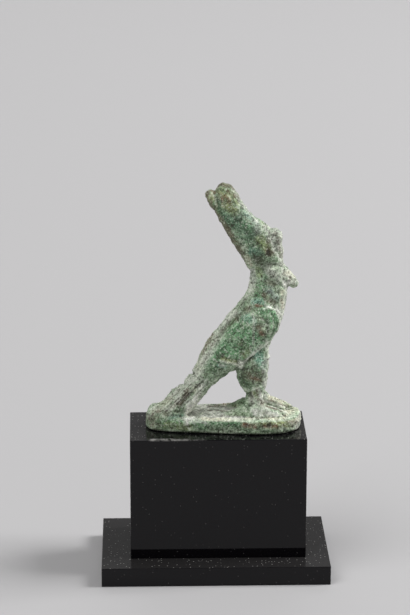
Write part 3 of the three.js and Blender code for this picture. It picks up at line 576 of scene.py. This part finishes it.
def patina():
    """Malachite patina on cast tin bronze, buried for centuries: dull mineral greens with pale and dark grains."""
    settings = bpy.context.scene.falcon_bronze
    material = bpy.data.materials.new("malachite_patina_on_cast_bronze")
    material.use_nodes = True
    tree = material.node_tree
    tree.nodes.clear()
    place = add(tree, "ShaderNodeTexCoord", output="Object")
    noise = {
        name: add(
            tree,
            "ShaderNodeTexNoise",
            {"Vector": place, "Scale": 1 / (width * MM), "Detail": detail, "Roughness": roughness},
        )
        for name, (width, detail, roughness) in PATINA_NOISES.items()
    }
    marks = {
        name: add(tree, "ShaderNodeAttribute", output="Fac", attribute_name=name)
        for name in ("raised", "proud", "soil_and_painted_shade", "worn", "feathered", "hidden", *MINERALS)
    }

    # Greens of the ground in soft blotches.
    pale = add(tree, "ShaderNodeMapRange", {0: noise["blotch"], 1: 0.35, 2: 0.65, 4: 0.8})
    skin = add(
        tree,
        "ShaderNodeMix",
        {0: pale, 6: tuple(settings.green), 7: tuple(settings.pale_green)},
        2,
        data_type="RGBA",
    )

    # Minerals with crumbly edges, where they are marked, and here and there on the hidden side.
    crumbs = add(tree, "ShaderNodeMapRange", {0: noise["mottle"], 1: 0.25, 2: 0.75, 3: 0.2, 4: 1.8})
    for number, (name, (tone, spread, _)) in enumerate(MINERALS.items()):
        wander = add(
            tree,
            "ShaderNodeTexNoise",
            {"Vector": place, "W": float(number), "Scale": 1 / (4.5 * MM), "Detail": 1.0},
            noise_dimensions="4D",
        )
        stray = add(tree, "ShaderNodeMapRange", {0: wander, 1: 0.66 - spread * 0.5, 2: 0.82 - spread * 0.5, 4: 0.75})
        stray = add(tree, "ShaderNodeMath", {0: stray, 1: marks["hidden"]}, operation="MULTIPLY")
        spot = add(tree, "ShaderNodeMath", {0: marks[name], 1: stray}, operation="MAXIMUM")
        spot = add(tree, "ShaderNodeMath", {0: spot, 1: crumbs}, operation="MULTIPLY")
        share = add(tree, "ShaderNodeMapRange", {0: spot, 1: 0.15, 2: 0.85, 4: 0.8})
        skin = add(tree, "ShaderNodeMix", {0: share, 6: skin, 7: linear(tone)}, 2, data_type="RGBA")

    # Dark soil in hollows and grooves; painted shade in the soil's colour in wide hollows and at the base's foot.
    low = add(tree, "ShaderNodeMapRange", {0: marks["raised"], 1: -0.2, 2: -1.8, 4: 0.45})
    # Painted shade: where the skin lies below what is around it, wide hollows are darkened with the soil's colour.
    deep = add(tree, "ShaderNodeMapRange", {0: marks["proud"], 1: -0.2, 2: -1.4, 4: 0.35})
    soil = add(tree, "ShaderNodeMath", {0: low, 1: deep}, operation="MAXIMUM")
    soil = add(tree, "ShaderNodeMath", {0: soil, 1: marks["soil_and_painted_shade"]}, operation="MAXIMUM")
    clean = add(tree, "ShaderNodeMapRange", {0: marks["chalk"], 3: 1.0, 4: 0.4})
    soil = add(tree, "ShaderNodeMath", {0: soil, 1: clean}, operation="MULTIPLY")
    skin = add(tree, "ShaderNodeMix", {0: soil, 6: skin, 7: tuple(settings.soil)}, 2, data_type="RGBA")
    # Pale crystals where bloom is, and where wear and painted highlights are on raised lines.
    pale = add(tree, "ShaderNodeMath", {0: marks["bloom"], 1: marks["cream"]}, operation="MAXIMUM")
    high = add(tree, "ShaderNodeMapRange", {0: marks["raised"], 1: 0.2, 2: 1.6, 4: 0.6})
    crystal = add(tree, "ShaderNodeMath", {0: pale, 1: high}, operation="MULTIPLY")
    crystal = add(tree, "ShaderNodeMath", {0: crystal, 1: marks["worn"]}, operation="MAXIMUM")
    skin = add(tree, "ShaderNodeMix", {0: crystal, 6: skin, 7: tuple(settings.crystal)}, 2, data_type="RGBA")

    # Broader grains differ in brightness, and painted light and shade make what stands out paler and what lies low
    # darker.
    for value, low, high, dark, light in (
        (noise["speckle"], 0.28, 0.72, 0.45, 1.7),
        (marks["raised"], -1.5, 1.5, 0.75, 1.35),
    ):
        shade = add(tree, "ShaderNodeMapRange", {0: value, 1: low, 2: high, 3: dark, 4: light})
        skin = add(tree, "ShaderNodeMix", {0: 1.0, 6: skin, 7: shade}, 2, data_type="RGBA", blend_type="MULTIPLY")
    # Fine grains are nearly white or dark.
    grit = add(tree, "ShaderNodeMath", {0: noise["speckle"], 1: 0.4, 2: noise["grain"]}, operation="MULTIPLY_ADD")
    dark = add(tree, "ShaderNodeMath", {0: marks["deep_green"], 1: marks["umber"]}, operation="MAXIMUM")
    light = add(tree, "ShaderNodeMapRange", {0: dark, 3: 1.0, 4: 0.3})
    run = add(
        tree,
        "ShaderNodeMapping",
        {"Vector": place, "Rotation": (0, -TAIL_TURN, 0), "Scale": [width * MM for width in STREAK_SIZE]},
        vector_type="TEXTURE",
    )
    streak = add(tree, "ShaderNodeTexNoise", {"Vector": run, "Scale": 1.0, "Detail": 2.0})
    for value, mask, low, high, most, tone in (
        (streak, marks["feathered"], 0.48, 0.36, 0.6, settings.soil),
        (streak, marks["feathered"], 0.54, 0.66, 0.85, settings.crystal),
        (grit, clean, 0.65, 0.55, 0.92, settings.soil),
        (grit, light, 0.75, 0.85, 0.9, settings.crystal),
    ):
        share = add(tree, "ShaderNodeMapRange", {0: value, 1: low, 2: high, 4: most})
        share = add(tree, "ShaderNodeMath", {0: share, 1: mask}, operation="MULTIPLY")
        skin = add(tree, "ShaderNodeMix", {0: share, 6: skin, 7: tuple(tone)}, 2, data_type="RGBA")
    gloss = add(tree, "ShaderNodeMapRange", {0: noise["mottle"], 1: 0.3, 2: 0.7, 3: 0.85, 4: 0.6})
    bump = add(tree, "ShaderNodeBump", {"Strength": 0.6, "Distance": 0.15 * MM, "Height": noise["speckle"]})
    surface = add(tree, "ShaderNodeBsdfPrincipled", {"Base Color": skin, "Roughness": gloss, "Normal": bump})
    add(tree, "ShaderNodeOutputMaterial", {0: surface})
    return material


# Stretch of the block's top along X left bare of the dust film, as painted shade by the bronze: its middle and how far
# it reaches.
PAINTED_SHADE_MIDDLE, PAINTED_SHADE_REACH = 2.0, 20.5

# Where the block's pale edge line lies: an axis, the place where there is none and the place where it is full.
PALE_EDGE_LINE = [("Z", BLOCK_TOP - 0.3, BLOCK_TOP - 0.1), ("Y", -9.3, -9.7), ("X", -2.0, -11.0), ("X", -17.2, -16.4)]


def black_acrylic():
    """Black cast acrylic, sawn and polished: deep, glossy black under a thin film of dust on what faces up."""
    settings = bpy.context.scene.falcon_plinth
    material = bpy.data.materials.new("black_cast_acrylic")
    material.use_nodes = True
    tree = material.node_tree
    tree.nodes.clear()
    place = add(tree, "ShaderNodeTexCoord", output="Object")
    normal = add(tree, "ShaderNodeNewGeometry", output="Normal")
    up = add(tree, "ShaderNodeSeparateXYZ", {0: normal}, 2)
    axes = add(tree, "ShaderNodeSeparateXYZ", {0: place}).node.outputs

    # An even dust film on what faces up, left off by the bronze as painted shade, and specks that lie thicker on what
    # faces up.
    film = add(tree, "ShaderNodeMapRange", {0: up, 1: 0.6, 2: 0.95, 3: 0.0, 4: 0.042})
    off = add(tree, "ShaderNodeMath", {0: axes["X"], 1: PAINTED_SHADE_MIDDLE * MM}, operation="SUBTRACT")
    off = add(tree, "ShaderNodeMath", {0: off}, operation="ABSOLUTE")
    off = add(tree, "ShaderNodeMapRange", {0: off, 1: (PAINTED_SHADE_REACH - 2) * MM, 2: PAINTED_SHADE_REACH * MM})
    below = add(tree, "ShaderNodeMath", {0: axes["Z"], 1: (BLOCK_TOP - 1) * MM}, operation="LESS_THAN")
    kept = add(tree, "ShaderNodeMath", {0: off, 1: below}, operation="MAXIMUM")
    film = add(tree, "ShaderNodeMath", {0: film, 1: kept}, operation="MULTIPLY")
    cells = add(tree, "ShaderNodeTexVoronoi", {"Vector": place, "Scale": 1 / (0.8 * MM)})
    speck = add(tree, "ShaderNodeMapRange", {0: cells, 1: 0.22, 2: 0.12})
    chance = add(tree, "ShaderNodeSeparateColor", {0: cells.node.outputs["Color"]})
    bare = add(tree, "ShaderNodeMapRange", {0: up, 1: 0.6, 2: 0.95, 3: 0.85, 4: 0.45})
    rare = add(tree, "ShaderNodeMath", {0: chance, 1: bare}, operation="GREATER_THAN")
    speck = add(tree, "ShaderNodeMath", {0: speck, 1: rare}, operation="MULTIPLY")
    lying = add(tree, "ShaderNodeMapRange", {0: up, 1: 0.0, 2: 0.9, 3: 0.12, 4: 0.5})
    speck = add(tree, "ShaderNodeMath", {0: speck, 1: lying}, operation="MULTIPLY")
    cover = add(tree, "ShaderNodeMath", {0: film, 1: speck}, operation="ADD", use_clamp=True)

    # A pale line in the dust's colour by the front edge of the block's top, which fades away to the right.
    edge_noise = add(tree, "ShaderNodeTexNoise", {"Vector": place, "Scale": 1 / (2.5 * MM), "Detail": 4.0, "Roughness": 0.7})
    line = add(tree, "ShaderNodeMapRange", {0: edge_noise, 1: 0.4, 2: 0.62, 4: 0.6})
    for axis, none, full in PALE_EDGE_LINE:
        share = add(tree, "ShaderNodeMapRange", {0: axes[axis], 1: none * MM, 2: full * MM})
        line = add(tree, "ShaderNodeMath", {0: line, 1: share}, operation="MULTIPLY")
    cover = add(tree, "ShaderNodeMath", {0: cover, 1: line}, operation="MAXIMUM")
    skin = add(
        tree,
        "ShaderNodeMix",
        {0: cover, 6: tuple(settings.acrylic), 7: tuple(settings.dust)},
        2,
        data_type="RGBA",
    )
    gloss = add(tree, "ShaderNodeMapRange", {0: cover, 1: 0.0, 2: 0.3, 3: 0.06, 4: 0.6})
    surface = add(
        tree,
        "ShaderNodeBsdfPrincipled",
        {"Base Color": skin, "Roughness": gloss, "IOR": 1.49, "Specular IOR Level": 0.3},
    )
    add(tree, "ShaderNodeOutputMaterial", {0: surface})
    return material


def dull_paper(tone):
    """Seamless background paper: even and matt."""
    material = bpy.data.materials.new("seamless_grey_paper")
    material.use_nodes = True
    shader = material.node_tree.nodes["Principled BSDF"]
    shader.inputs["Base Color"].default_value = tone
    shader.inputs["Roughness"].default_value = 0.95
    shader.inputs["Specular IOR Level"].default_value = 0.2
    return material


def finish_piece(piece, node):
    """Puts a piece in the place of a CAD node, on the only body."""
    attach(piece, BODY)
    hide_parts(node)


def add_rod(mesh, start, end, start_radius, end_radius):
    """Adds a closed tapered rod with round ends to a mesh, between two places above the block."""
    work = bmesh.new()
    work.from_mesh(mesh)
    start, end = (Vector(place) * MM + Vector((0, 0, BLOCK_TOP * MM)) for place in (start, end))
    turned = (end - start).to_track_quat("Z", "Y").to_matrix().to_4x4()
    bmesh.ops.create_cone(
        work,
        cap_ends=True,
        segments=10,
        radius1=start_radius * MM,
        radius2=end_radius * MM,
        depth=(end - start).length,
        matrix=Matrix.Translation((start + end) / 2) @ turned,
    )
    for place, radius in ((start, start_radius), (end, end_radius)):
        bmesh.ops.create_icosphere(work, subdivisions=1, radius=radius * MM, matrix=Matrix.Translation(place))
    work.to_mesh(mesh)
    work.free()


class FALCON_OT_bronze(bpy.types.Operator):
    """Makes the corroded bronze falcon, its crown and its cast base as one skin"""

    bl_idname = "falcon.bronze"
    bl_label = "Corroded Bronze"

    def execute(self, context):
        settings = context.scene.falcon_bronze
        mesh = self.skin(merged_copy(BRONZE_NODE), settings.skin, 3)
        for rod in FEATHER_ENDS:
            add_rod(mesh, *rod)
        mesh = self.skin(mesh, settings.skin, 1)
        self.work(mesh)
        worked = new_object("falcon_worked", mesh)
        sizes = {
            f"{name.title()} {what.title()}": getattr(settings, f"{name}_{what}")
            for name in ("swell", "crust", "grain", "pit")
            for what in ("size", "depth")
        }
        run_tree(worked, corrosion_tree(), {**sizes, "Seed": float(settings.seed), "Material": patina()})
        finished = baked(worked, "falcon_bronze")
        finished.shade_smooth()
        finish_piece(new_object("falcon_bronze", finished), BRONZE_NODE)
        return {"FINISHED"}

    def skin(self, mesh, spacing, turns):
        """One even closed skin over all that the mesh holds, with its edges softened a little."""
        rough = new_object("falcon_skin", mesh)
        remesh = rough.modifiers.new("Even skin", "REMESH")
        remesh.mode = "VOXEL"
        remesh.voxel_size = spacing
        soften = rough.modifiers.new("Worn edges", "SMOOTH")
        soften.factor, soften.iterations = 0.5, turns
        return baked(rough, BRONZE_NODE)

    def work(self, mesh):
        """Works the lines and pits into the skin, and marks where corrosion and each mineral may show."""
        places = mesh_array(mesh, "co") / MM - [0, 0, BLOCK_TOP]
        normals = mesh_array(mesh, "normal")
        lines, barbs, among, lip = worked_relief(places, normals)
        rise = lines + BARB_DEPTH * barbs + lip
        seen = np.column_stack([places[:, 0], places[:, 2] + SEEN_RISE * (places[:, 1] - SEEN_PLANE)])
        for x, z, radius, depth in NOTCHES:
            rise -= depth * hump(np.hypot(seen[:, 0] - x, seen[:, 1] - z), radius)
        moved = (places + normals * rise[:, None] + [0, 0, BLOCK_TOP]) * MM
        mesh.vertices.foreach_set("co", moved.astype(np.float32).ravel())
        # Crests of raised lines and barbs are paler, for wear and as painted highlight.
        # Soil lies in grooves and in the tail's furrows. The soil mark's last term is painted shade:
        # a dark band along the base's foot that stands for its contact shadow.
        marks = {
            "free": smoothstep(places[:, 2], 0.15, 0.9),
            "soil_and_painted_shade": np.clip(-lines / 0.4, 0, 0.75)
            + 0.3 * smoothstep(-barbs, 0.2, 0.9)
            + 0.6 * smoothstep(-places[:, 2], -0.9, -0.2),
            "worn": np.clip((lines - 0.08) / 0.35, 0, 0.55) + 0.25 * smoothstep(barbs, 0.2, 0.9)
            ,
            "feathered": among,
        }
        near = smoothstep(-normals[:, 1], -0.75, -0.35) * ((places[:, 1] < 3) | (places[:, 2] < LEG_TOP))
        marks["hidden"] = 1 - near
        above = smoothstep(normals[:, 2], 0.3, 0.7) * hump(places[:, 2] - BASE_TOP, 1.0)
        for name, (_, _, patches) in MINERALS.items():
            beside = near * self.cover(seen, patches)
            on_base = self.cover(places, BASE_TOP_MINERALS.get(name, []))
            marks[name] = beside * (1 - above) + on_base * above
        # Painted light: what faces forward gets lilac grey and bloom, paler as the light that falls on that side.
        worn_front = FRONT_PAINTED_LIGHT * smoothstep(normals[:, 0], 0.45, 0.9)
        for name in ("lilac_grey", "bloom"):
            marks[name] = np.maximum(marks[name], worn_front)
        for name, values in marks.items():
            attribute = mesh.attributes.new(name, "FLOAT", "POINT")
            attribute.data.foreach_set("value", values.astype(np.float32))
        mesh.update()

    def cover(self, places, patches):
        """Share of a mineral at each place, from patches that are short lines with a radius and a strength."""
        share = np.zeros(len(places))
        for x0, z0, x1, z1, radius, strength in patches:
            line = np.array([(x0, z0), (x1, z1)])
            share = np.maximum(share, strength * hump(distance_to(line, places[:, :2]), radius * 1.2))
        return share


class FALCON_OT_plinth(bpy.types.Operator):
    """Makes the slab and block of black acrylic with eased edges"""

    bl_idname = "falcon.plinth"
    bl_label = "Acrylic Plinth"

    def execute(self, context):
        material = black_acrylic()
        for node in PLINTH_NODES:
            mesh = merged_copy(node)
            work = bmesh.new()
            work.from_mesh(mesh)
            bmesh.ops.dissolve_limit(work, angle_limit=0.01, verts=work.verts, edges=work.edges)
            bmesh.ops.bevel(
                work, geom=work.edges, offset=context.scene.falcon_plinth.edge, segments=3, affect="EDGES", profile=0.5
            )
            work.to_mesh(mesh)
            work.free()
            mesh.materials.append(material)
            finish_piece(new_object(f"{node}_acrylic", mesh), node)
        return {"FINISHED"}


class FALCON_OT_stage(bpy.types.Operator):
    """Makes the floor, the lights and the camera"""

    bl_idname = "falcon.stage"
    bl_label = "Studio and Camera"

    def execute(self, context):
        settings = context.scene.falcon_stage
        self.floor(settings)
        self.light("key_light", (1350, 80, 1500), (0, 0, 60), 800, settings.key_power)
        self.light("fill_light", (-1500, -1200, 2600), (0, 0, 60), 2200, settings.fill_power)
        self.light("floor_light", (0, 1300, 1000), (0, 1300, 0), 1200, settings.wash_power)
        world = bpy.data.worlds.new("dim_room")
        world.use_nodes = True
        background = world.node_tree.nodes["Background"]
        background.inputs["Color"].default_value = (1, 1, 1, 1)
        background.inputs["Strength"].default_value = settings.room
        context.scene.world = world
        context.scene.view_settings.view_transform = "Standard"
        self.camera(context.scene)
        return {"FINISHED"}

    def floor(self, settings):
        """Plain pale floor that runs past the view on all sides."""
        half = settings.floor_size / 2
        mesh = bpy.data.meshes.new("paper_floor")
        corners = [(-half, -half, 0), (half, -half, 0), (half, half, 0), (-half, half, 0)]
        mesh.from_pydata(corners, [], [(0, 1, 2, 3)])
        mesh.materials.append(dull_paper(tuple(settings.floor)))
        new_object("paper_floor", mesh)

    def light(self, name, place, aim, size, power):
        """Square soft light that faces its aim."""
        data = bpy.data.lights.new(name, "AREA")
        data.shape = "SQUARE"
        data.size = size * MM
        data.energy = power
        lamp = bpy.data.objects.new(name, data)
        lamp.location = Vector(place) * MM
        lamp.rotation_euler = (Vector(aim) * MM - lamp.location).to_track_quat("-Z", "Y").to_euler()
        bpy.context.scene.collection.objects.link(lamp)

    def camera(self, scene):
        """Camera of the photograph, fitted to the plinth's edges."""
        data = bpy.data.cameras.new("photo_camera")
        data.sensor_width = 36
        data.lens = FOCAL_PIXELS * data.sensor_width / max(PHOTO_WIDTH, PHOTO_HEIGHT)
        camera = bpy.data.objects.new("photo_camera", data)
        camera.location = Vector(CAMERA_PLACE) * MM
        camera.rotation_euler = Euler([math.radians(turn) for turn in CAMERA_TURN])
        scene.collection.objects.link(camera)
        scene.camera = camera


class FALCON_PT_panel(bpy.types.Panel):
    """Lists the steps that dress the statuette"""

    bl_label = "Falcon Statuette"
    bl_space_type = "VIEW_3D"
    bl_region_type = "UI"
    bl_category = "Falcon"

    def draw(self, context):
        for operator in OPERATORS:
            self.layout.operator(operator.bl_idname)
        for group in (context.scene.falcon_bronze, context.scene.falcon_plinth, context.scene.falcon_stage):
            for name in group.__annotations__:
                self.layout.prop(group, name)


SETTINGS = {"falcon_bronze": BronzeSettings, "falcon_plinth": PlinthSettings, "falcon_stage": StageSettings}
OPERATORS = (FALCON_OT_bronze, FALCON_OT_plinth, FALCON_OT_stage)


def register():
    for made in (*SETTINGS.values(), *OPERATORS, FALCON_PT_panel):
        bpy.utils.register_class(made)
    for name, group in SETTINGS.items():
        setattr(bpy.types.Scene, name, PointerProperty(type=group))


def unregister():
    for name in SETTINGS:
        delattr(bpy.types.Scene, name)
    for made in reversed((*SETTINGS.values(), *OPERATORS, FALCON_PT_panel)):
        bpy.utils.unregister_class(made)


def main():
    register()
    bpy.ops.falcon.stage()
    bpy.ops.falcon.plinth()
    bpy.ops.falcon.bronze()


if __name__ == "__main__":
    main()
